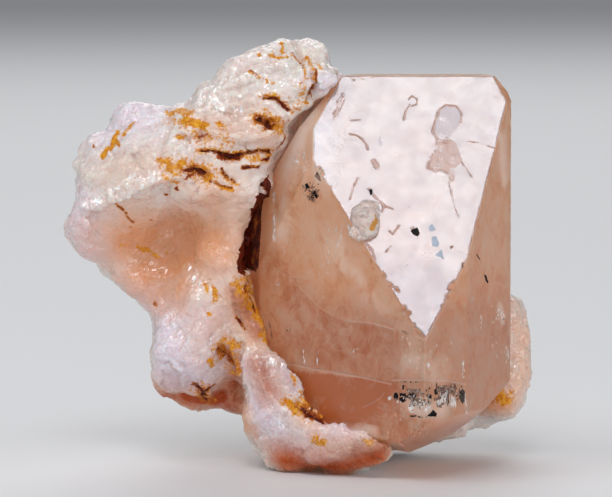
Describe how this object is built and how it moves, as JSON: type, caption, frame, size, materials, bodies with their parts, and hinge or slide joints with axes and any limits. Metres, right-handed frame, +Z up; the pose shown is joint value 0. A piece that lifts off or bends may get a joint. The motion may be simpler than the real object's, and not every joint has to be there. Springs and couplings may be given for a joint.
{
  "type": "topaz crystal on albite matrix",
  "caption": "Stubby peach-pink topaz crystal with one big sloping face and clear prism sides, grown in a lump of sugary white albite.",
  "frame": {"origin": "centre of the specimen's bounding box in plan, at the height of the flat it rests on", "axes": "+Z up along the crystal's long axis, -Y the side the crystal's big sloping face looks to, +X to the right as seen from there"},
  "size_m": [0.0618, 0.0386, 0.0555],
  "materials": {
    "topaz": "clear peach-pink crystal, glassy on its faces, a little hazy inside",
    "albite": "sugary white, slightly see-through, stained yellow and brown in its cracks",
    "grain": "greyish white, slightly see-through, with a yellow stain"
  },
  "bodies": {
    "root": {"topaz_crystal": "topaz", "albite_matrix": "albite", "albite_grain": "grain"}
  },
  "joints": []
}
